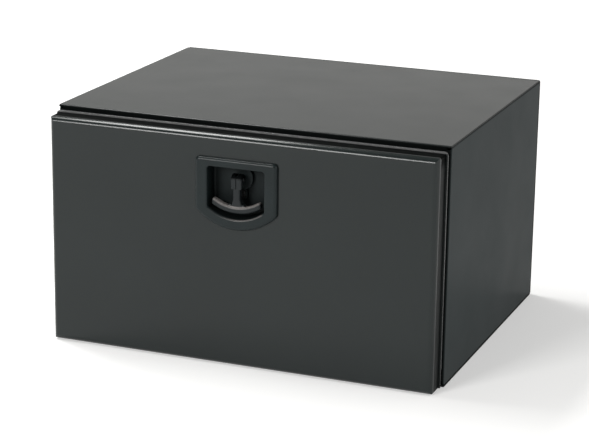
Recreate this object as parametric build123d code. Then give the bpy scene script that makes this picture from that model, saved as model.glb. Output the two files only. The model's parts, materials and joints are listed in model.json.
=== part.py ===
from build123d import *
import os
from math import sqrt

# Steel tool box with a drop-down front door and a recessed T-handle lock.
# Millimetres, +X right, +Y back, +Z up, origin under the middle of the box on the ground.

# Overall size
box_width = 600.0
box_height = 350.0
body_depth = 457.0
door_depth = 40.0
sheet = 1.5
bend_radius = 3.0
overrun = 2.0

# Body: lips round the front opening and weld flanges at the seams
top_lip = 30.0
side_lip = 30.0
sill_height = 42.0
weld_flange = 15.0
corner_relief = 7.0
relief_height = 4.0
seam_gap = 0.4

# Seal on the front lips
seal_gap = 7.5
seal_width = 10.0
seal_clearance = 0.3
seal_edge = 4.0
seal_corner = 14.0
seal_round = 4.2

# Door pan
wall_inset_side = 4.5
wall_inset_top = 9.0
wall_inset_bottom = 1.0
pan_corner = 2.5
rim_radius = 8.0
lip_reach = 3.0
bottom_wall_depth = 23.0

# Door liner
liner_bottom = 25.5
bead_inset = 55.0
bead_corner = 30.0
bead_radius = 2.2
bead_depth = 1.8

# Hinges in the lower corners of the door
hinge_inset = 32.0
hinge_back = 10.0
hinge_height = 12.5
hinge_pin_radius = 3.0
hinge_boss_radius = 5.5
running_clearance = 0.05
bracket_sheet = 3.0
bracket_plate = 2.0
bracket_width = 31.0
bracket_bottom = 5.5
bracket_top = 24.0
leaf_sheet = 2.0
leaf_width = 13.0
leaf_bottom = 18.0
leaf_top = 50.0
washer_gap = 1.0
washer_clearance = 0.1
pin_head_radius = 5.0
pin_head_height = 2.5
clip_radius = 4.6
clip_thickness = 1.2
clip_depth = 0.5
pin_tail = 1.0
notch_clearance = 1.5

# Rivets
rivet_radius = 2.5
rivet_head_radius = 4.0
rivet_head_height = 1.8
bracket_rivet_spacing = 14.0

# Keeper behind the top lip
keeper_width = 80.0
keeper_sheet = 2.0
keeper_bottom_gap = 1.5
keeper_height = 24.5
keeper_rivet_spacing = 66.0
keeper_rivet_drop = 9.5

# Lock dish, with heights above the handle's cross pin
lock_drop = 71.0
lock_proud = 6.5
gasket_thickness = 1.0
dish_width = 125.0
dish_rise = 30.0
dish_arc_rise = 13.0
dish_arc_radius = 86.0
dish_corner = 6.5
dish_edge_round = 4.8
mouth_width = 87.0
mouth_rise = 17.0
mouth_arc_radius = 70.0
mouth_corner = 4.0
mouth_round = 2.4
dish_depth = 27.0
dish_wall = 2.5
dish_floor_round = 3.0
dish_hole_clearance = 0.5

# Clamp ring and screws that hold the dish from behind
clamp_sheet = 2.0
clamp_border = 12.0
clamp_clearance = 0.5
dish_screw_radius = 2.0
dish_screw_depth = 2.6
dish_screw_head_radius = 3.8
dish_screw_head_height = 2.4
dish_screw_spread = 106.0
dish_screw_rise = 22.0
dish_screw_fall = 38.0

# T-handle, folded down in the dish
handle_setback = 3.0
pivot_setback = 11.0
pivot_boss_radius = 18.0
pivot_boss_height = 6.0
head_width = 16.4
head_drop = 13.0
head_round = 2.0
head_groove_width = 1.6
head_groove_depth = 1.2
neck_setback = 1.2
neck_width = 10.7
neck_depth = 8.8
neck_round = 2.2
flare_width = 20.0
flare_height = 11.0
flare_round = 8.0
shoulder_spread = 19.4
shoulder_radius = 3.2
shoulder_rise = 1.0
bar_width = 75.0
bar_thickness = 9.6
bar_depth = 11.0
bar_radius = 66.0
bar_drop = 49.0
bar_round = 3.2
handle_pin_radius = 2.0
lug_thickness = 4.0
lug_radius = 5.5
lug_clearance = 0.4

# Key barrel, spindle and latch cam
barrel_drop = 23.0
barrel_radius = 6.5
barrel_boss_radius = 10.0
barrel_flange_radius = 8.0
barrel_flange_height = 1.5
barrel_clearance = 0.1
keyway_width = 2.2
keyway_height = 9.0
keyway_depth = 6.0
barrel_clip_radius = 9.0
barrel_clip_thickness = 1.2
barrel_clip_depth = 0.8
barrel_tail = 2.0
spindle_radius = 5.0
bush_radius = 7.5
bush_flange_radius = 10.5
bush_flange_height = 1.5
bush_tail = 1.5
cam_gap = 0.7
cam_thickness = 3.0
cam_hub_radius = 11.0
cam_width = 15.0
cam_length = 73.0
cam_square = 7.0
cam_fit = 0.02
stud_radius = 3.0
stud_tail = 1.5
cam_washer_radius = 7.0
cam_washer_thickness = 1.2
cam_nut_flats = 10.0
cam_nut_height = 5.0

# Planes and lines worked out from the sizes above
overall_depth = body_depth + door_depth + lock_proud
back_y = overall_depth / 2
front_y = back_y - body_depth
half_width = box_width / 2
liner_back_y = front_y - seal_gap
liner_front_y = liner_back_y - sheet
lip_front_y = liner_front_y - sheet
panel_y = front_y - door_depth
panel_back_y = panel_y + sheet
lock_face_y = panel_y - lock_proud
pan_half = half_width - wall_inset_side
pan_top = box_height - wall_inset_top
pan_bottom = wall_inset_bottom
pan_middle = (pan_top + pan_bottom) / 2
hinge_x = half_width - hinge_inset
hinge_y = panel_y + hinge_back
opening_half = half_width - side_lip
opening_top = box_height - top_lip
pivot_z = box_height - lock_drop
pivot_y = lock_face_y + pivot_setback
dish_arc_z = pivot_z + dish_arc_rise
dish_floor_y = lock_face_y + dish_depth
dish_back_y = dish_floor_y + dish_wall
boss_front_y = dish_floor_y - pivot_boss_height
handle_front_y = lock_face_y + handle_setback
head_radius = pivot_setback - handle_setback
bar_low_z = pivot_z - bar_drop
bar_mid_z = bar_low_z + bar_thickness / 2
barrel_z = pivot_z - barrel_drop
keeper_back_y = front_y + sheet + keeper_sheet
cam_front_y = keeper_back_y + cam_gap
cam_back_y = cam_front_y + cam_thickness
washer_back_y = cam_back_y + cam_washer_thickness
nut_back_y = washer_back_y + cam_nut_height


def block(x_span, y_span, z_span):
    """Box between two values along each axis."""
    spans = (x_span, y_span, z_span)
    middle = [(low + high) / 2 for low, high in spans]
    size = [abs(high - low) for low, high in spans]
    return Pos(*middle) * Box(*size)


def forward(sketch, y_back, y_front):
    """Sketch drawn in X and Z, extruded towards the front from one depth to another."""
    plane = Plane((0, y_back, 0), x_dir=(1, 0, 0), z_dir=(0, -1, 0))
    return extrude(plane * sketch, y_back - y_front)


def across(sketch, x_start, x_end):
    """Sketch drawn in Y and Z, extruded along X."""
    return extrude(Plane.YZ.offset(x_start) * sketch, x_end - x_start)


def rod(x, z, radius, y_front, y_back):
    """Round rod along Y."""
    return forward(Pos(x, z) * Circle(radius), y_back, y_front)


def pin_along_x(y, z, radius, x_start, x_end):
    """Round rod along X."""
    return across(Pos(y, z) * Circle(radius), x_start, x_end)


def folded_sheet(points, x_half):
    """Sheet folded along points in Y and Z, the same over a width about the middle."""
    fold = FilletPolyline(*points, radius=bend_radius - sheet / 2)
    return across(trace(fold, sheet), -x_half, x_half)


def front_edges(solid):
    """Edges of the face that is furthest forward."""
    return solid.faces().sort_by(Axis.Y)[0].edges()


def back_edges(solid):
    """Edges of the face that is furthest back."""
    return solid.faces().sort_by(Axis.Y)[-1].edges()


def mirrored(solid):
    return mirror(solid, about=Plane.YZ)


# Body

def cap_panel(lip):
    """Top or bottom sheet in its upright place at the ground, with the given front lip."""
    low = sheet / 2
    front = front_y + sheet / 2
    back = back_y - sheet - sheet / 2
    points = [(front, lip), (front, low), (back, low), (back, weld_flange)]
    panel = folded_sheet(points, half_width)
    lip_end = half_width - corner_relief
    flange_end = half_width - weld_flange - seam_gap
    for side in (-1, 1):
        lip_x = (side * lip_end, side * (half_width + overrun))
        flange_x = (side * flange_end, side * (half_width + overrun))
        above = (bend_radius, lip + overrun)
        panel -= block(lip_x, (front_y - overrun, front_y + bend_radius), above)
        panel -= block(flange_x, (back_y - sheet - bend_radius, back_y), (sheet, weld_flange + overrun))
    return panel


def bottom_panel():
    panel = cap_panel(sill_height)
    for x in bracket_rivet_places():
        panel -= rod(x, bracket_rivet_z(), rivet_radius, front_y - overrun, front_y + sheet + overrun)
    return panel


def top_panel():
    panel = Pos(0, 0, box_height) * mirror(cap_panel(top_lip), about=Plane.XY)
    for x in keeper_rivet_places():
        panel -= rod(x, keeper_rivet_z(), rivet_radius, front_y - overrun, front_y + sheet + overrun)
    return panel


def side_tray(inset, x_inner):
    """Rounded block that bounds the side sheet, outside or inside."""
    low = sheet + inset
    high = box_height - sheet - inset
    front = front_y + inset
    back = back_y - sheet - inset
    tray = block((x_inner, half_width - inset), (front, back), (low, high))
    outer = tray.faces().sort_by(Axis.X)[-1]
    return fillet(outer.edges(), bend_radius - inset)


def right_side():
    """Side sheet folded inwards along its four edges, with its front lip between the others."""
    x_inner = half_width - side_lip
    side = side_tray(0, x_inner) - side_tray(sheet, x_inner - overrun)
    flange_x = (x_inner - overrun, half_width - weld_flange)
    behind_lip = (front_y + sheet, back_y)
    side -= block(flange_x, behind_lip, (0, box_height))
    lip_y = (front_y - overrun, front_y + bend_radius)
    lip_x = (x_inner - overrun, half_width - corner_relief + seam_gap)
    side -= block(lip_x, lip_y, (0, sill_height + seam_gap))
    side -= block(lip_x, lip_y, (opening_top - seam_gap, box_height))
    relief_x = (lip_x[1] - overrun, half_width + overrun)
    side -= block(relief_x, lip_y, (box_height - sheet - relief_height, box_height))
    side -= block(relief_x, lip_y, (0, sheet + relief_height))
    return side


def back_panel():
    panel = block((-half_width, half_width), (back_y - sheet, back_y), (0, box_height))
    return fillet(panel.edges().filter_by(Axis.Y), bend_radius)


def door_seal():
    """Rubber strip with a rounded front, all round the opening."""
    inner_half = opening_half + seal_edge
    low = sill_height - seal_edge
    high = opening_top + seal_edge
    middle = (low + high) / 2
    outer_corner = seal_corner + seal_width
    inner = RectangleRounded(2 * inner_half, high - low, seal_corner)
    outer = RectangleRounded(2 * (inner_half + seal_width), high - low + 2 * seal_width, outer_corner)
    strip = forward(Pos(0, middle) * (outer - inner), front_y, liner_back_y + seal_clearance)
    return fillet(front_edges(strip), seal_round)


def keeper_rivet_places():
    return [-keeper_rivet_spacing / 2, keeper_rivet_spacing / 2]


def keeper_rivet_z():
    return box_height - keeper_rivet_drop


def keeper_plate():
    low = opening_top + keeper_bottom_gap
    x_span = (-keeper_width / 2, keeper_width / 2)
    plate = block(x_span, (front_y + sheet, keeper_back_y), (low, low + keeper_height))
    plate = fillet(plate.edges().filter_by(Axis.Y), bend_radius)
    for x in keeper_rivet_places():
        plate -= rod(x, keeper_rivet_z(), rivet_radius, front_y, keeper_back_y + overrun)
    return plate


def rivet(x, z, head_y, tail_y):
    """Rivet along Y between two outer sheet faces, with a bevelled head at each end."""
    front_head = rod(x, z, rivet_head_radius, head_y - rivet_head_height, head_y)
    back_head = rod(x, z, rivet_head_radius, tail_y, tail_y + rivet_head_height)
    bevel = rivet_head_height / 2
    body = rod(x, z, rivet_radius, head_y, tail_y)
    body += chamfer(front_edges(front_head), bevel)
    return body + chamfer(back_edges(back_head), bevel)


def keeper_rivets():
    return Compound([rivet(x, keeper_rivet_z(), front_y, keeper_back_y) for x in keeper_rivet_places()])


# Hinges

bracket_x = hinge_x - washer_gap / 2
leaf_x = hinge_x + washer_gap / 2


def bracket_rivet_z():
    return (bracket_bottom + bracket_top) / 2


def right_rivet_places():
    middle = bracket_x - bracket_sheet - (bracket_width - bracket_sheet) / 2
    return [middle - bracket_rivet_spacing / 2, middle + bracket_rivet_spacing / 2]


def bracket_rivet_places():
    return [side * x for side in (-1, 1) for x in right_rivet_places()]


def hinge_bracket():
    """Right angle bracket on the sill, with its pivot eye inside the door."""
    eye = Pos(hinge_y, hinge_height) * Circle(hinge_boss_radius)
    foot_y = (front_y - bracket_plate / 2, (bracket_bottom + bracket_top) / 2)
    foot = Pos(*foot_y) * Rectangle(bracket_plate, bracket_top - bracket_bottom)
    web = across(make_hull(eye.edges() + foot.edges()), bracket_x - bracket_sheet, bracket_x)
    plate_x = (bracket_x - bracket_width, bracket_x)
    bracket = web + block(plate_x, (front_y - bracket_plate, front_y), (bracket_bottom, bracket_top))
    for x in right_rivet_places():
        bracket -= rod(x, bracket_rivet_z(), rivet_radius, front_y - bracket_plate - overrun, front_y)
    return bracket - pin_along_x(hinge_y, hinge_height, hinge_pin_radius, 0, half_width)


def bracket_rivets():
    head_y = front_y - bracket_plate
    tail_y = front_y + sheet
    return Compound([rivet(x, bracket_rivet_z(), head_y, tail_y) for x in bracket_rivet_places()])


def hinge_leaf():
    """Right leaf welded to the back of the door's face, with the eye that turns on the pin."""
    eye = Pos(hinge_y, hinge_height) * Circle(hinge_boss_radius)
    root_y = panel_back_y + leaf_sheet / 2
    root = Pos(root_y, (leaf_bottom + leaf_top) / 2) * Rectangle(leaf_sheet, leaf_top - leaf_bottom)
    web = across(make_hull(eye.edges() + root.edges()), leaf_x, leaf_x + leaf_sheet)
    plate_y = (panel_back_y, panel_back_y + leaf_sheet)
    leaf = web + block((leaf_x, leaf_x + leaf_width), plate_y, (leaf_bottom, leaf_top))
    bore = hinge_pin_radius + running_clearance
    return leaf - pin_along_x(hinge_y, hinge_height, bore, 0, half_width)


def hinge_pin():
    head_x = bracket_x - bracket_sheet
    clip_x = leaf_x + leaf_sheet + washer_clearance
    end_x = clip_x + clip_thickness + pin_tail
    pin = pin_along_x(hinge_y, hinge_height, hinge_pin_radius, head_x - pin_head_height, end_x)
    pin += pin_along_x(hinge_y, hinge_height, pin_head_radius, head_x - pin_head_height, head_x)
    return pin - hinge_clip()


def hinge_clip():
    """Spring clip in the groove at the pin's end."""
    clip_x = leaf_x + leaf_sheet + washer_clearance
    ring = Circle(clip_radius) - Circle(hinge_pin_radius - clip_depth)
    gap = hinge_pin_radius - clip_depth
    mouth = Pos(0, clip_radius) * Rectangle(gap, 2 * clip_radius)
    return across(Pos(hinge_y, hinge_height) * (ring - mouth), clip_x, clip_x + clip_thickness)


def hinge_washer():
    ring = Circle(hinge_boss_radius) - Circle(hinge_pin_radius + running_clearance)
    place = Pos(hinge_y, hinge_height)
    return across(place * ring, bracket_x + washer_clearance, leaf_x - washer_clearance)


def both_sides(solid):
    return Compound([solid, mirrored(solid)])


# Door

def pan_outline(inset):
    size = RectangleRounded(2 * (pan_half - inset), pan_top - pan_bottom - 2 * inset, pan_corner - inset)
    return Pos(0, pan_middle) * size


def pan_block(inset, y_back):
    """Block that bounds the pan, outside or inside, with rolled edges that meet in a mitre."""
    x_span = (inset - pan_half, pan_half - inset)
    solid = block(x_span, (panel_y + inset, y_back), (pan_bottom + inset, pan_top - inset))
    bounded = forward(pan_outline(inset), y_back, panel_y + inset)
    for along in (Axis.X, Axis.Z):
        rolled = front_edges(solid).filter_by(along)
        bounded = bounded & fillet(rolled, rim_radius - inset)
    return bounded


def ring_tube(outline, y, radius):
    """Round tube along an outline drawn in X and Z."""
    path = Plane((0, y, 0), x_dir=(1, 0, 0), z_dir=(0, -1, 0)) * outline
    wire = path.faces()[0].outer_wire()
    return sweep(Plane(origin=wire @ 0, z_dir=wire % 0) * Circle(radius), path=wire)


def door_lip():
    """Narrow flange that turns out from the pan's back edge at the top and sides."""
    reach = 2 * lip_reach
    size = RectangleRounded(2 * pan_half + reach, pan_top - pan_bottom + reach, pan_corner + lip_reach)
    ring = Pos(0, pan_middle) * size - pan_outline(sheet)
    lip = forward(ring, liner_front_y, lip_front_y)
    below = (pan_bottom - lip_reach - overrun, pan_bottom + sheet)
    return lip - block((-half_width, half_width), (front_y, panel_y), below)


def door_skin():
    """Pressed front pan with a rolled rim, a turned-out lip and the opening for the lock."""
    skin = pan_block(0, liner_front_y) - pan_block(sheet, front_y) + door_lip()
    wall_z = (pan_bottom - overrun, pan_bottom + sheet + overrun)
    inner_half = pan_half - pan_corner
    skin -= block((-inner_half, inner_half), (panel_y + bottom_wall_depth, front_y), wall_z)
    notch_x = (bracket_x - bracket_sheet - notch_clearance, leaf_x + leaf_sheet + notch_clearance)
    notch_y = (hinge_y - hinge_boss_radius - washer_gap, front_y)
    for side in (-1, 1):
        skin -= block([side * x for x in notch_x], notch_y, wall_z)
    skin -= forward(tub_outline(dish_hole_clearance), panel_back_y + overrun, panel_y - overrun)
    for x, z in dish_screw_places():
        skin -= rod(x, z, dish_screw_radius + running_clearance, panel_y - overrun, panel_back_y + overrun)
    return skin


def liner_outline(inset, corner):
    high = pan_top + lip_reach - inset
    low = liner_bottom + inset
    size = RectangleRounded(2 * (pan_half + lip_reach - inset), high - low, corner)
    return Pos(0, (high + low) / 2) * size


def door_liner():
    """Flat inner sheet of the door, stiffened by a groove pressed into its back."""
    liner = forward(liner_outline(0, pan_corner + lip_reach), liner_back_y, liner_front_y)
    outline = liner_outline(bead_inset, bead_corner)
    bead_y = liner_back_y + bead_radius - bead_depth
    bead = ring_tube(outline, bead_y, bead_radius + sheet)
    in_front = block((-half_width, half_width), (panel_y, liner_back_y), (0, box_height))
    liner += bead & in_front
    liner -= ring_tube(outline, bead_y, bead_radius)
    return liner - rod(0, barrel_z, bush_radius, lip_front_y, front_y)


# Lock dish

def shield(width, top, arc_radius, corner):
    """Outline with straight top and sides and a round lower edge."""
    half = width / 2
    side = dish_arc_z - sqrt(arc_radius**2 - half**2)
    low = (0, dish_arc_z - arc_radius)
    straight = Polyline((half, side), (half, top), (-half, top), (-half, side))
    outline = make_face([straight, ThreePointArc((-half, side), low, (half, side))])
    return fillet(outline.vertices(), corner)


def dish_outline():
    return shield(dish_width, pivot_z + dish_rise, dish_arc_radius, dish_corner)


def mouth_outline(grow):
    top = pivot_z + mouth_rise + grow
    return shield(mouth_width + 2 * grow, top, mouth_arc_radius + grow, mouth_corner + grow)


def tub_outline(grow):
    return mouth_outline(dish_wall + grow)


def pivot_lug():
    """Lug that carries the handle's pin in front of the boss, in the fork of the handle's head."""
    eye = Pos(pivot_y, pivot_z) * Circle(lug_radius)
    root = Pos(dish_floor_y, pivot_z) * Rectangle(dish_wall, 2 * lug_radius)
    web = make_hull(eye.edges() + root.edges())
    return across(web, -lug_thickness / 2, lug_thickness / 2)


def lock_dish():
    """Moulded dish: a raised frame, a deep tub and bosses for the handle and the key barrel."""
    frame_back_y = panel_y - gasket_thickness
    frame = forward(dish_outline(), frame_back_y, lock_face_y)
    frame = fillet(front_edges(frame), dish_edge_round)
    tub = forward(tub_outline(0), dish_back_y, frame_back_y)
    cavity = forward(mouth_outline(0), dish_floor_y, lock_face_y)
    dish = frame + tub - fillet(back_edges(cavity), dish_floor_round)
    mouth = dish.faces().sort_by(Axis.Y)[0].inner_wires()[0]
    dish = fillet(mouth.edges(), mouth_round)
    dish += rod(0, pivot_z, pivot_boss_radius, boss_front_y, dish_back_y)
    dish += rod(0, barrel_z, barrel_boss_radius, boss_front_y, dish_back_y)
    dish += pivot_lug()
    dish -= rod(0, barrel_z, barrel_radius + running_clearance, lock_face_y, front_y)
    dish -= pin_along_x(pivot_y, pivot_z, handle_pin_radius, -lug_thickness, lug_thickness)
    for x, z in dish_screw_places():
        dish -= rod(x, z, dish_screw_radius, frame_back_y - dish_screw_depth, frame_back_y)
    return dish


def dish_gasket():
    ring = dish_outline() - tub_outline(dish_hole_clearance)
    gasket = forward(ring, panel_y, panel_y - gasket_thickness)
    for x, z in dish_screw_places():
        gasket -= rod(x, z, dish_screw_radius + running_clearance, lock_face_y, panel_y)
    return gasket


def dish_screw_places():
    half = dish_screw_spread / 2
    heights = (pivot_z + dish_screw_rise, pivot_z - dish_screw_fall)
    return [(side * half, z) for z in heights for side in (-1, 1)]


def dish_clamp():
    """Steel ring behind the door's face that the dish is screwed to."""
    outer = tub_outline(clamp_clearance + clamp_border)
    ring = outer - tub_outline(clamp_clearance)
    clamp = forward(ring, panel_back_y + clamp_sheet, panel_back_y)
    for x, z in dish_screw_places():
        clamp -= rod(x, z, dish_screw_radius + running_clearance, panel_y, front_y)
    return clamp


def dish_screw(x, z):
    seat_y = panel_back_y + clamp_sheet
    tip_y = panel_y - gasket_thickness - dish_screw_depth
    head = rod(x, z, dish_screw_head_radius, seat_y, seat_y + dish_screw_head_height)
    head = chamfer(back_edges(head), dish_screw_head_height / 2)
    return head + rod(x, z, dish_screw_radius, tip_y, seat_y)


def dish_screws():
    return Compound([dish_screw(x, z) for x, z in dish_screw_places()])


# T-handle

def handle_bar():
    """Curved grip bar with rounded edges, low in the middle."""
    centre_z = bar_mid_z + bar_radius
    inner = bar_radius - bar_thickness / 2
    outer = bar_radius + bar_thickness / 2
    band = Circle(outer) - Circle(inner)
    window = Pos(0, -bar_radius) * Rectangle(bar_width, bar_radius)
    bar = forward(Pos(0, centre_z) * (band & window), handle_front_y + bar_depth, handle_front_y)
    return fillet(bar.edges(), bar_round)


def handle_head():
    """Forked head, round about the cross pin and square below it, with a groove down its front."""
    half = head_width / 2
    low = pivot_z - head_drop
    eye = Pos(pivot_y, pivot_z) * Circle(head_radius)
    depth = neck_setback + neck_depth
    foot_z = low + head_round
    foot = Pos(handle_front_y + depth / 2, foot_z) * Rectangle(depth, 2 * head_round)
    head = across(make_hull(eye.edges() + foot.edges()), -half, half)
    ends = head.faces().sort_by(Axis.X)
    head = fillet(ends[0].edges() + ends[-1].edges(), head_round)
    groove_half = head_groove_width / 2
    groove_y = (handle_front_y - overrun, handle_front_y + head_groove_depth)
    head -= block((-groove_half, groove_half), groove_y, (low - overrun, pivot_z + head_radius))
    slot_half = lug_thickness / 2 + lug_clearance
    slot_start = lug_radius + lug_clearance
    slot_y = (pivot_y - slot_start, pivot_y + head_radius + overrun)
    slot_z = (pivot_z - slot_start, pivot_z + head_radius + overrun)
    return head - block((-slot_half, slot_half), slot_y, slot_z)


def handle_neck():
    """Narrow neck that flares out to the bar, with rounded front and back edges."""
    neck_half = neck_width / 2
    flare_half = flare_width / 2
    flare_top = bar_low_z + bar_thickness + flare_height
    right = [(neck_half, pivot_z - head_radius), (neck_half, flare_top), (flare_half, bar_mid_z)]
    left = [(-x, z) for x, z in reversed(right)]
    outline = make_face(Polyline(*right, *left, close=True))
    outline = fillet(outline.vertices().group_by(Axis.Y)[1], flare_round)
    front = handle_front_y + neck_setback
    neck = forward(outline, front + neck_depth, front)
    return fillet(front_edges(neck) + back_edges(neck), neck_round)


def handle_shoulder(side):
    """Rounded shoulder beside the neck's foot, on top of the bar."""
    x = side * shoulder_spread / 2
    front = handle_front_y + neck_setback
    z = bar_low_z + bar_thickness + shoulder_rise
    shoulder = rod(x, z, shoulder_radius, front, front + neck_depth)
    return fillet(front_edges(shoulder) + back_edges(shoulder), shoulder_radius / 2)


def t_handle():
    """Folding handle that turns on a cross pin through its head."""
    handle = handle_bar() + handle_neck() + handle_shoulder(-1) + handle_shoulder(1) + handle_head()
    bore = handle_pin_radius + running_clearance
    return handle - pin_along_x(pivot_y, pivot_z, bore, -bar_width, bar_width)


def handle_pin():
    reach = head_width / 2
    return pin_along_x(pivot_y, pivot_z, handle_pin_radius, -reach, reach)


# Latch

def clip_front_y():
    return dish_back_y + barrel_clearance


def key_barrel():
    """Barrel with a keyway, its spindle, a square for the cam and a threaded stud."""
    flange_back_y = boss_front_y - barrel_clearance
    face_y = flange_back_y - barrel_flange_height
    barrel_end_y = clip_front_y() + barrel_clip_thickness + barrel_tail
    barrel = rod(0, barrel_z, barrel_flange_radius, face_y, flange_back_y)
    barrel += rod(0, barrel_z, barrel_radius, face_y, barrel_end_y)
    barrel += rod(0, barrel_z, spindle_radius, barrel_end_y, cam_front_y)
    square = Pos(0, barrel_z) * Rectangle(cam_square, cam_square)
    barrel += forward(square, cam_back_y, cam_front_y)
    barrel += rod(0, barrel_z, stud_radius, cam_back_y, nut_back_y + stud_tail)
    keyway = Pos(0, barrel_z) * Rectangle(keyway_width, keyway_height)
    return barrel - forward(keyway, face_y + keyway_depth, face_y - overrun) - barrel_clip()


def barrel_clip():
    """Spring clip that keeps the barrel in the dish."""
    inner = barrel_radius - barrel_clip_depth
    mouth = Pos(0, -barrel_clip_radius) * Rectangle(inner, 2 * barrel_clip_radius)
    ring = Pos(0, barrel_z) * (Circle(barrel_clip_radius) - Circle(inner) - mouth)
    return forward(ring, clip_front_y() + barrel_clip_thickness, clip_front_y())


def spindle_bush():
    """Plastic bush in the liner that steadies the spindle."""
    bush = rod(0, barrel_z, bush_radius, liner_front_y, liner_back_y + bush_tail)
    bush += rod(0, barrel_z, bush_flange_radius, liner_front_y - bush_flange_height, liner_front_y)
    return bush - rod(0, barrel_z, spindle_radius + running_clearance, panel_y, front_y)


def latch_cam():
    """Flat cam that lies to the right when released and swings up behind the keeper."""
    hub = Circle(cam_hub_radius)
    arm_end = cam_length - cam_width / 2
    arm = Pos(arm_end / 2, 0) * Rectangle(arm_end, cam_width)
    tip = Pos(arm_end, 0) * Circle(cam_width / 2)
    hole = Rectangle(cam_square + cam_fit, cam_square + cam_fit)
    return forward(Pos(0, barrel_z) * (hub + arm + tip - hole), cam_back_y, cam_front_y)


def cam_washer():
    ring = Circle(cam_washer_radius) - Circle(stud_radius + running_clearance)
    return forward(Pos(0, barrel_z) * ring, washer_back_y, cam_back_y)


def cam_nut():
    hexagon = RegularPolygon(cam_nut_flats / 2, 6, major_radius=False) - Circle(stud_radius)
    return forward(Pos(0, barrel_z) * hexagon, nut_back_y, washer_back_y)


def all_parts():
    side = right_side()
    bracket = hinge_bracket()
    leaf = hinge_leaf()
    pin = hinge_pin()
    return {
        "top_panel": top_panel(),
        "bottom_panel": bottom_panel(),
        "right_side": side,
        "left_side": mirrored(side),
        "back_panel": back_panel(),
        "door_seal": door_seal(),
        "keeper_plate": keeper_plate(),
        "keeper_rivets": keeper_rivets(),
        "hinge_bracket_right": bracket,
        "hinge_bracket_left": mirrored(bracket),
        "bracket_rivets": bracket_rivets(),
        "hinge_pin_right": pin,
        "hinge_pin_left": mirrored(pin),
        "hinge_clips": both_sides(hinge_clip()),
        "hinge_washers": both_sides(hinge_washer()),
        "door_skin": door_skin(),
        "door_liner": door_liner(),
        "hinge_leaf_right": leaf,
        "hinge_leaf_left": mirrored(leaf),
        "lock_dish": lock_dish(),
        "dish_gasket": dish_gasket(),
        "dish_clamp": dish_clamp(),
        "dish_screws": dish_screws(),
        "handle_pin": handle_pin(),
        "spindle_bush": spindle_bush(),
        "t_handle": t_handle(),
        "key_barrel": key_barrel(),
        "barrel_clip": barrel_clip(),
        "latch_cam": latch_cam(),
        "cam_washer": cam_washer(),
        "cam_nut": cam_nut(),
    }


def main():
    os.makedirs("parts", exist_ok=True)
    for name, shape in all_parts().items():
        export_step(shape, f"parts/{name}.step")


main()
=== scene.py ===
import json
from math import radians

import bmesh
import bpy
from mathutils import Matrix, Vector

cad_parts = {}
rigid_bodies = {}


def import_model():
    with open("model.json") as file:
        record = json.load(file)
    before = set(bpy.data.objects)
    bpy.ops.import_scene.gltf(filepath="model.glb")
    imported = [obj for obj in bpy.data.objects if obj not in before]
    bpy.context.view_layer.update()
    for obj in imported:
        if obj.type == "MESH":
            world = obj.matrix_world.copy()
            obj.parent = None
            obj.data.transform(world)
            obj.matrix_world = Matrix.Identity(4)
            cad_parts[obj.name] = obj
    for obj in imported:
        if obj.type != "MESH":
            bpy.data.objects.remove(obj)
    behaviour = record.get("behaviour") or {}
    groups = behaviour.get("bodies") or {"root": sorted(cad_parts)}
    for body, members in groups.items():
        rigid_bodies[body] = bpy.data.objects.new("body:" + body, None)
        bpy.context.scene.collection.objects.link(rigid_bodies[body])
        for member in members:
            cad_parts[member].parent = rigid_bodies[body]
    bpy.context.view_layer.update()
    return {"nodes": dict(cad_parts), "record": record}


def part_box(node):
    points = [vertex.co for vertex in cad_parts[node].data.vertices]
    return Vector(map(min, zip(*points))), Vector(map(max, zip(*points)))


# Steel tool box with a drop-down door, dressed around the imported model.
# Metres, +X right, +Y back, +Z up, origin on the ground under the middle of the box.

for left_over in list(bpy.data.objects):
    bpy.data.objects.remove(left_over)
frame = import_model()

# Faces and edges of the pieces, from which the zones of the coats are measured
(_, door_face, _), (lip_side, lip_back, lip_top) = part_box("door_skin")
(_, case_front, _), (case_side, side_back, side_top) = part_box("right_side")
(_, dish_face, _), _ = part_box("lock_dish")
(_, _, pin_bottom), (_, _, pin_top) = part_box("handle_pin")
pivot_height = (pin_bottom + pin_top) / 2

# Camera, fitted to the corners of the case and the door in the photograph; angles in degrees
camera_lens = 126.18
camera_place = (1.0988, -2.8131, 1.0440)
camera_turn = 21.493
camera_tilt = 73.561
camera_roll = 0.773

# Floor: pale all over, and seen whiter far from the box
floor_half = 9.0
floor_drop = 0.0003
floor_colour = (0.80, 0.80, 0.796)
floor_tones = (0.985, 1.0)
floor_rough = 0.7
floor_shine = 0.1
floor_near_white = 0.34
floor_far_white = 0.60
white_from = 1.5
white_to = 2.6

# Lamps: place, the point that each one faces, width and length, and power in watts
lamp_colour = (1.0, 0.995, 0.985)
lamps = {
    "front_lamp": dict(place=(-1.90, -4.64, 2.18), aim=(0.0, -0.25, 0.2), size=(1.70, 1.60), power=164.0),
    "top_lamp": dict(place=(-1.27, 0.36, 2.85), aim=(-1.27, 0.34, 0.0), size=(0.62, 1.80), power=66.0),
    "left_lamp": dict(place=(-1.80, 0.61, 1.56), aim=(0.0, -0.25, 0.24), size=(0.80, 0.80), power=16.0),
    "right_lamp": dict(place=(2.60, -0.60, 1.40), aim=(0.3, 0.0, 0.17), size=(1.60, 1.60), power=26.0),
}

# Studio walls and ceiling as seen by the box: a pale ring, brighter towards the back left
wall_colour = (1.0, 0.985, 0.96)
wall_bright_side = (-0.38, 0.92, 0.0)
wall_low_tone = 0.76
wall_high_tone = 0.24
wall_high_at = 0.70
wall_dim_share = 0.80
wall_dim_at = 0.45
wall_bright_at = 0.93

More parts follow.
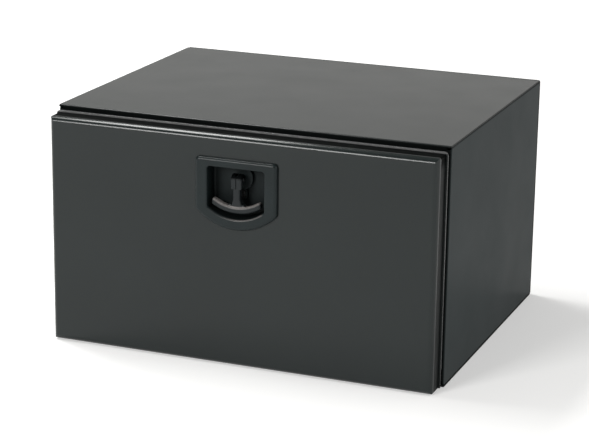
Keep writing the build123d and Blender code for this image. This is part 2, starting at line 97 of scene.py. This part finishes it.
# Noises, each a scale and a detail; most of their values lie between noise_low and noise_high
noise_low = 0.3
noise_high = 0.7
floor_cloud = (0.8, 2.0)
coat_cloud = (5.0, 3.0)
coat_rough = (15.0, 4.0)
coat_grain = (1400.0, 1.0)
coat_peel = (520.0, 2.0)
coat_sway = (7.0, 1.0)
mould_cloud = (25.0, 3.0)
mould_grain = (1100.0, 2.0)
plate_strokes = (60.0, 4.0)
plate_stains = (90.0, 3.0)
highlight_breaks = (130.0, 3.0)

# Finishes: colour, lowest and highest roughness, shine, and the height of the grain or orange peel
body_coat = dict(colour=(0.0155, 0.0205, 0.0206), rough=(0.18, 0.23), shine=0.28, relief=0.000012)
# Painted shade: the side sheets' copy of the case's coat
side_shade_coat = dict(colour=(0.0272, 0.0345, 0.0356), rough=(0.30, 0.36), shine=0.012, relief=0.000014)
door_coat = dict(colour=(0.0118, 0.0160, 0.0160), rough=(0.12, 0.17), shine=0.28, relief=0.000012)
seal_rubber = dict(colour=(0.010, 0.010, 0.0105), rough=(0.62, 0.78), shine=0.3, relief=0.00006)
lock_plastic = dict(colour=(0.0108, 0.0160, 0.0168), rough=(0.24, 0.34), shine=0.17, relief=0.00002)
natural_nylon = dict(colour=(0.60, 0.58, 0.52), rough=(0.40, 0.55), shine=0.5, relief=0.00003)
handle_enamel = dict(colour=(0.0112, 0.0143, 0.0157), rough=(0.30, 0.38), shine=0.20, relief=0.00001)
barrel_enamel = dict(colour=(0.0120, 0.0125, 0.0125), rough=(0.24, 0.34), shine=0.5, relief=0.00001)
zinc_plate = dict(colour=(0.62, 0.62, 0.60), rough=(0.28, 0.48), relief=0.00004)

# Powder coat: darkest and lightest tone, shares of clouds and grain, sway of the sheets, and soft edges
coat_tones = (0.86, 1.14)
coat_cloud_share = 0.6
coat_grain_share = 0.2
sway_height = 0.0003
edge_round = 0.0011
edge_samples = 4

# Mouldings and plate: darkest and lightest tone, and how the plate's strokes are drawn
mould_tones = (0.85, 1.15)
plate_tones = (0.88, 1.08)
plate_stretch = (1.0, 1.0, 14.0)
plate_stroke_rough = 0.65

# The side sheets have a flatter, greyer copy of the case's coat, with almost no shine: painted shade, so
# that the sides look as dark as in shade
side_sheets = ("right_side", "left_side")

# Painted shade: zones where the coat is darkened, dulled and roughened to stand in for shade in gaps,
# recesses, seams and on the handle's head: share of the colour that is left, roughness and shine
coat_painted_shade = dict(share=0.16, rough=0.62, shine=0.02)
tub_painted_shade = dict(share=0.60, rough=0.50, shine=0.12)

# The rim looks narrower down the door's sides, and the painted shade is weaker there and along the seams
side_rim_less = 0.0008
side_rim_strength = 0.78
seam_strength = 0.72

# Where the zones start and end, as offsets from faces of the door, its lip, the case, the dish and the pin
channel_front_fade = (0.00805, 0.00955)
channel_back_fade = (-0.00095, -0.00035)
top_rim_fade = (-0.022, -0.012)
lip_fade = (-0.0028, -0.0020)
lip_back_fade = (-0.00275, -0.00175)
flange_fade = (0.00025, 0.00225)
tub_fade = (0.00325, 0.00575)
# Painted shade on the top of the handle's head starts at the pin
pivot_shade_fade = (0.0, 0.003)

# Painted shade along the seams of the side sheets, as offsets from their top, their rear edge and the side
# of the case
seam_top_fade = (-0.0033, -0.0007)
seam_back_fade = (-0.00225, -0.00005)
seam_side_fade = (-0.0012, -0.0006)

# Painted highlight: a paler, broken coat, here on the outer edge of the door's lip
highlight_least = 0.70
lip_highlight_colour = (0.140, 0.141, 0.143)
side_lip_highlight = 0.12

# Painted highlight on the upper edge of the grip bar: an arc between two radii, about a point above the
# handle's pin
grip_highlight_colour = (0.192, 0.180, 0.175)
grip_rise = 0.0218
grip_inside = (0.0598, 0.0608)
grip_outside = (0.0622, 0.0646)

# Painted highlight on the lower edge of the dish's mouth: another such arc, stronger right of the middle
mouth_highlight_colour = (0.105, 0.100, 0.098)
mouth_rise = 0.013
mouth_inside = (0.0694, 0.0700)
mouth_outside = (0.0712, 0.0724)
mouth_widths = (0.0390, 0.0425)
mouth_fade = (0.00155, 0.00315)
mouth_highlight_from = (-0.024, 0.004)
mouth_highlight_least = 0.12


def link(tree, source, target):
    tree.links.new(source, target)


def new_material(name):
    """Material with one shader, and the place on the part in metres."""
    material = bpy.data.materials.new(name)
    material.use_nodes = True
    tree = material.node_tree
    tree.nodes.clear()
    output = tree.nodes.new("ShaderNodeOutputMaterial")
    shader = tree.nodes.new("ShaderNodeBsdfPrincipled")
    link(tree, shader.outputs["BSDF"], output.inputs["Surface"])
    place = tree.nodes.new("ShaderNodeTexCoord").outputs["Object"]
    return material, tree, shader, place


def separated(tree, place):
    node = tree.nodes.new("ShaderNodeSeparateXYZ")
    link(tree, place, node.inputs["Vector"])
    return node.outputs["X"], node.outputs["Y"], node.outputs["Z"]


def vector_math(tree, operation, vector, other=(0.0, 0.0, 0.0)):
    """Vector worked on with a fixed one; a length or a dot product comes out as a value."""
    node = tree.nodes.new("ShaderNodeVectorMath")
    node.operation = operation
    link(tree, vector, node.inputs[0])
    node.inputs[1].default_value = other
    return node.outputs["Value" if operation in ("LENGTH", "DOT_PRODUCT") else "Vector"]


def combined(tree, operation, first, second):
    """Sum, product or the like of two values."""
    node = tree.nodes.new("ShaderNodeMath")
    node.operation = operation
    link(tree, first, node.inputs[0])
    link(tree, second, node.inputs[1])
    return node.outputs["Value"]


def multiplied(tree, first, *others):
    product = first
    for other in others:
        product = combined(tree, "MULTIPLY", product, other)
    return product


def absolute(tree, value):
    node = tree.nodes.new("ShaderNodeMath")
    node.operation = "ABSOLUTE"
    link(tree, value, node.inputs[0])
    return node.outputs["Value"]


def noise(tree, place, scale, detail, rough=0.5):
    node = tree.nodes.new("ShaderNodeTexNoise")
    link(tree, place, node.inputs["Vector"])
    node.inputs["Scale"].default_value = scale
    node.inputs["Detail"].default_value = detail
    node.inputs["Roughness"].default_value = rough
    return node.outputs["Fac"]


def mapped(tree, value, low, high, start=noise_low, end=noise_high):
    """Value between start and end, moved to low and high."""
    node = tree.nodes.new("ShaderNodeMapRange")
    link(tree, value, node.inputs["Value"])
    node.inputs["From Min"].default_value = start
    node.inputs["From Max"].default_value = end
    node.inputs["To Min"].default_value = low
    node.inputs["To Max"].default_value = high
    return node.outputs["Result"]


def faded(tree, value, low, high, origin, offsets):
    """Low before and high after a fade between two offsets from a face or edge."""
    start, end = offsets
    return mapped(tree, value, low, high, origin + start, origin + end)


def mixed(tree, share, first, second, blend="MIX"):
    """Colour between two, by a share; each is a fixed colour or a node's output."""
    node = tree.nodes.new("ShaderNodeMix")
    node.data_type = "RGBA"
    node.blend_type = blend
    link(tree, share, node.inputs["Factor"])
    for name, colour in (("A", first), ("B", second)):
        if isinstance(colour, tuple):
            node.inputs[name].default_value = (*colour, 1.0)
        else:
            link(tree, colour, node.inputs[name])
    return node.outputs["Result"]


def bump(tree, height, distance, below=None):
    """Normal raised by a height, over the normal below it."""
    node = tree.nodes.new("ShaderNodeBump")
    node.inputs["Strength"].default_value = 1.0
    node.inputs["Distance"].default_value = distance
    link(tree, height, node.inputs["Height"])
    if below is not None:
        link(tree, below, node.inputs["Normal"])
    return node.outputs["Normal"]


def coloured(tree, shader, colour, tones, share):
    """Base colour between two tones of a colour, by a share."""
    dark, light = (tuple(value * tone for value in colour) for tone in tones)
    link(tree, mixed(tree, share, dark, light), shader.inputs["Base Color"])


def door_channel(tree, place):
    """Painted shade: one on the wall behind the door's rim, where the gap lies in shade; nothing on the
    rim and on the outer edge of the lip.
    """
    x, y, z = separated(tree, place)
    below = faded(tree, z, 1.0, 0.0, lip_top, lip_fade)
    beside = faded(tree, absolute(tree, x), 1.0, 0.0, lip_side, lip_fade)
    shift = faded(tree, z, side_rim_less, 0.0, lip_top, top_rim_fade)
    behind_rim = faded(tree, combined(tree, "ADD", y, shift), 0.0, 1.0, door_face, channel_front_fade)
    before_lip = faded(tree, y, 1.0, 0.0, lip_back, channel_back_fade)
    strength = faded(tree, z, side_rim_strength, 1.0, lip_top, top_rim_fade)
    return multiplied(tree, below, beside, behind_rim, before_lip, strength)


def lip_edge(tree, place):
    """Painted highlight: one on the outer edge of the lip along the top, less down both sides."""
    x, y, z = separated(tree, place)
    above = faded(tree, z, 0.0, 1.0, lip_top, lip_fade)
    beside = faded(tree, absolute(tree, x), 0.0, side_lip_highlight, lip_side, lip_fade)
    outer = combined(tree, "MAXIMUM", above, beside)
    return multiplied(tree, outer, faded(tree, y, 0.0, 1.0, lip_back, lip_back_fade))


def case_flange(tree, place):
    """Painted shade: one on the front flanges of the case, which lie in shade behind the door."""
    _, y, _ = separated(tree, place)
    return faded(tree, y, 1.0, 0.0, case_front, flange_fade)


def case_shade(tree, place):
    """Painted shade: one on the front flanges of the case, less on the cut edges of its sheets at the
    sides.
    """
    x, _, _ = separated(tree, place)
    edge = faded(tree, absolute(tree, x), 0.0, seam_strength, case_side, seam_side_fade)
    return combined(tree, "MAXIMUM", case_flange(tree, place), edge)


def side_sheet_shade(tree, place):
    """Painted shade: one on the front flanges of the side sheets, less along their upper and rear seams.
    """
    _, y, z = separated(tree, place)
    upper = faded(tree, z, 0.0, seam_strength, side_top, seam_top_fade)
    rear = faded(tree, y, 0.0, seam_strength, side_back, seam_back_fade)
    return combined(tree, "MAXIMUM", case_flange(tree, place), combined(tree, "MAXIMUM", upper, rear))


def dish_tub(tree, place):
    """Painted shade: one inside the tub of the lock dish."""
    _, y, _ = separated(tree, place)
    return faded(tree, y, 0.0, 1.0, dish_face, tub_fade)


def pivot_shade(tree, place):
    """Painted shade: one on the top of the handle's head, above the pin."""
    _, _, z = separated(tree, place)
    return faded(tree, z, 0.0, 1.0, pivot_height, pivot_shade_fade)


def arc_band(tree, place, rise, inside, outside):
    """One between two radii about a point above the handle's pin, as seen from the front."""
    upright = vector_math(tree, "MULTIPLY", place, (1.0, 0.0, 1.0))
    arm = vector_math(tree, "SUBTRACT", upright, (0.0, 0.0, pivot_height + rise))
    radius = vector_math(tree, "LENGTH", arm)
    within = mapped(tree, radius, 1.0, 0.0, *outside)
    beyond = mapped(tree, radius, 0.0, 1.0, *inside)
    return multiplied(tree, within, beyond)


def grip_edge(tree, place):
    """Painted highlight: one on the upper edge of the curved grip bar, nothing on the stem."""
    return arc_band(tree, place, grip_rise, grip_inside, grip_outside)


def mouth_edge(tree, place):
    """Painted highlight: one on the right half of the mouth's lower edge, less on its left, nothing beside
    it or inside.
    """
    x, y, _ = separated(tree, place)
    within = mapped(tree, absolute(tree, x), 1.0, 0.0, *mouth_widths)
    share = mapped(tree, x, mouth_highlight_least, 1.0, *mouth_highlight_from)
    front = faded(tree, y, 1.0, 0.0, dish_face, mouth_fade)
    arc = arc_band(tree, place, mouth_rise, mouth_inside, mouth_outside)
    return multiplied(tree, within, share, front, arc)


def paint_shade(tree, shader, zone, strength):
    """Painted shade: darker, rougher coat with its own shine where zone is one, over what the shader has.
    """
    colour = shader.inputs["Base Color"]
    rough = shader.inputs["Roughness"]
    shine = shader.inputs["Specular IOR Level"]
    grey = (strength["share"],) * 3
    link(tree, mixed(tree, zone, colour.links[0].from_socket, grey, "MULTIPLY"), colour)
    least_rough = mapped(tree, zone, 0.0, strength["rough"], 0.0, 1.0)
    link(tree, combined(tree, "MAXIMUM", rough.links[0].from_socket, least_rough), rough)
    link(tree, mapped(tree, zone, shine.default_value, strength["shine"], 0.0, 1.0), shine)


def paint_highlight(tree, shader, place, zone, pale):
    """Painted highlight: paler, broken coat where zone is one, over what the shader has."""
    colour = shader.inputs["Base Color"]
    breaks = mapped(tree, noise(tree, place, *highlight_breaks), highlight_least, 1.0)
    link(tree, mixed(tree, multiplied(tree, zone, breaks), colour.links[0].from_socket, pale), colour)


def add_zones(tree, shader, place, painted_shade, painted_highlight):
    """Painted shade and painted highlight: each is None, or a zone with its strength or its colour."""
    if painted_shade is not None:
        zone, strength = painted_shade
        paint_shade(tree, shader, zone(tree, place), strength)
    if painted_highlight is not None:
        zone, pale = painted_highlight
        paint_highlight(tree, shader, place, zone(tree, place), pale)


def powder_coat(name, finish, painted_shade, painted_highlight=None):
    """Satin powder coat on sheet: clouded tone, fine grain, orange peel, slight sway and rounded edges."""
    material, tree, shader, place = new_material(name)
    grain = noise(tree, place, *coat_grain)
    clouds = mapped(tree, noise(tree, place, *coat_cloud), 0.0, coat_cloud_share)
    specks = mapped(tree, grain, 0.0, 1.0 - coat_cloud_share)
    coloured(tree, shader, finish["colour"], coat_tones, combined(tree, "ADD", clouds, specks))
    link(tree, mapped(tree, noise(tree, place, *coat_rough), *finish["rough"]), shader.inputs["Roughness"])
    shader.inputs["Specular IOR Level"].default_value = finish["shine"]
    add_zones(tree, shader, place, painted_shade, painted_highlight)
    edges = tree.nodes.new("ShaderNodeBevel")
    edges.samples = edge_samples
    edges.inputs["Radius"].default_value = edge_round
    sway = bump(tree, noise(tree, place, *coat_sway), sway_height, edges.outputs["Normal"])
    peel = bump(tree, noise(tree, place, *coat_peel), finish["relief"], sway)
    link(tree, bump(tree, grain, coat_grain_share * finish["relief"], peel), shader.inputs["Normal"])
    return material


def moulding(name, finish, painted_shade=None, painted_highlight=None):
    """Plastic, rubber or enamel with a fine grain."""
    material, tree, shader, place = new_material(name)
    clouds = mapped(tree, noise(tree, place, *mould_cloud), 0.0, 1.0)
    grain = noise(tree, place, *mould_grain)
    coloured(tree, shader, finish["colour"], mould_tones, clouds)
    link(tree, mapped(tree, grain, *finish["rough"]), shader.inputs["Roughness"])
    shader.inputs["Specular IOR Level"].default_value = finish["shine"]
    add_zones(tree, shader, place, painted_shade, painted_highlight)
    link(tree, bump(tree, grain, finish["relief"]), shader.inputs["Normal"])
    return material


def plated(name, finish):
    """Plated metal with drawn strokes and faint stains."""
    material, tree, shader, place = new_material(name)
    drawn = vector_math(tree, "MULTIPLY", place, plate_stretch)
    strokes = noise(tree, drawn, *plate_strokes, plate_stroke_rough)
    stains = mapped(tree, noise(tree, place, *plate_stains), 0.0, 1.0)
    coloured(tree, shader, finish["colour"], plate_tones, stains)
    link(tree, mapped(tree, strokes, *finish["rough"]), shader.inputs["Roughness"])
    shader.inputs["Metallic"].default_value = 1.0
    link(tree, bump(tree, strokes, finish["relief"]), shader.inputs["Normal"])
    return material


def make_materials():
    # Painted shade in the zones given with a strength, painted highlights in the zones given with a colour
    lip_highlight = (lip_edge, lip_highlight_colour)
    mouth_highlight = (mouth_edge, mouth_highlight_colour)
    grip_highlight = (grip_edge, grip_highlight_colour)
    return {
        "body_paint": powder_coat("body_powder_coat", body_coat, (case_shade, coat_painted_shade)),
        "side_shade_paint": powder_coat("side_shaded_powder_coat", side_shade_coat, (side_sheet_shade, coat_painted_shade)),
        "door_paint": powder_coat("door_powder_coat", door_coat, (door_channel, coat_painted_shade), lip_highlight),
        "black_rubber": moulding("seal_rubber", seal_rubber),
        "lock_plastic": moulding("lock_moulding", lock_plastic, (dish_tub, tub_painted_shade), mouth_highlight),
        "nylon": moulding("natural_nylon", natural_nylon),
        "zinc_steel": plated("zinc_plate", zinc_plate),
        "handle_coat": moulding("handle_enamel", handle_enamel, (pivot_shade, coat_painted_shade), grip_highlight),
        "barrel_metal": moulding("barrel_enamel", barrel_enamel),
    }


def dress():
    """Each node of the frame takes the finish of its slot in the record, and the side sheets their own
    shaded copy of the case's coat.
    """
    materials = make_materials()
    for part in frame["record"]["subparts"]:
        mesh = frame["nodes"][part["node"]].data
        finish = "side_shade_paint" if part["node"] in side_sheets else part["material_slot"]
        mesh.materials.clear()
        mesh.materials.append(materials[finish])


def floor_material():
    """Pale floor that glows a little to the eye and in reflections, more so far from the box."""
    material, tree, shader, place = new_material("pale_floor")
    tint = mapped(tree, noise(tree, place, *floor_cloud), 0.0, 1.0)
    coloured(tree, shader, floor_colour, floor_tones, tint)
    shader.inputs["Roughness"].default_value = floor_rough
    shader.inputs["Specular IOR Level"].default_value = floor_shine
    path = tree.nodes.new("ShaderNodeLightPath").outputs
    seen = combined(tree, "MAXIMUM", path["Is Camera Ray"], path["Is Glossy Ray"])
    seen = combined(tree, "MAXIMUM", seen, path["Is Transmission Ray"])
    distance = vector_math(tree, "LENGTH", place)
    white = mapped(tree, distance, floor_near_white, floor_far_white, white_from, white_to)
    link(tree, multiplied(tree, seen, white), shader.inputs["Emission Strength"])
    shader.inputs["Emission Color"].default_value = (1.0, 1.0, 1.0, 1.0)
    return material


def make_floor():
    mesh = bpy.data.meshes.new("floor")
    grid = bmesh.new()
    bmesh.ops.create_grid(grid, x_segments=1, y_segments=1, size=floor_half)
    grid.to_mesh(mesh)
    grid.free()
    mesh.materials.append(floor_material())
    floor = bpy.data.objects.new("floor", mesh)
    floor.location = (0, 0, -floor_drop)
    bpy.context.scene.collection.objects.link(floor)


def make_lamp(name, place, aim, size, power):
    data = bpy.data.lights.new(name, "AREA")
    data.shape = "RECTANGLE"
    data.size, data.size_y = size
    data.energy = power
    data.color = lamp_colour
    lamp = bpy.data.objects.new(name, data)
    lamp.location = place
    direction = Vector(aim) - Vector(place)
    lamp.rotation_euler = direction.to_track_quat("-Z", "Y").to_euler()
    bpy.context.scene.collection.objects.link(lamp)


def make_world():
    """Pale studio walls, paler near the ground and towards one side."""
    world = bpy.data.worlds.new("studio")
    world.use_nodes = True
    tree = world.node_tree
    tree.nodes.clear()
    output = tree.nodes.new("ShaderNodeOutputWorld")
    light = tree.nodes.new("ShaderNodeBackground")
    link(tree, light.outputs["Background"], output.inputs["Surface"])
    toward = tree.nodes.new("ShaderNodeTexCoord").outputs["Generated"]
    _, _, height = separated(tree, toward)
    tone = mapped(tree, height, wall_low_tone, wall_high_tone, 0.0, wall_high_at)
    side = vector_math(tree, "DOT_PRODUCT", toward, wall_bright_side)
    share = mapped(tree, side, wall_dim_share, 1.0, wall_dim_at, wall_bright_at)
    light.inputs["Color"].default_value = (*wall_colour, 1.0)
    link(tree, multiplied(tree, tone, share), light.inputs["Strength"])
    bpy.context.scene.world = world


def make_camera():
    data = bpy.data.cameras.new("camera")
    data.lens = camera_lens
    camera = bpy.data.objects.new("camera", data)
    turn = Matrix.Rotation(radians(camera_turn), 4, "Z")
    tilt = Matrix.Rotation(radians(camera_tilt), 4, "X")
    roll = Matrix.Rotation(radians(camera_roll), 4, "Z")
    camera.matrix_world = Matrix.Translation(camera_place) @ turn @ tilt @ roll
    bpy.context.scene.collection.objects.link(camera)
    bpy.context.scene.camera = camera


bpy.context.scene.view_settings.view_transform = "Standard"
dress()
make_floor()
for lamp_name, lamp_values in lamps.items():
    make_lamp(lamp_name, **lamp_values)
make_world()
make_camera()
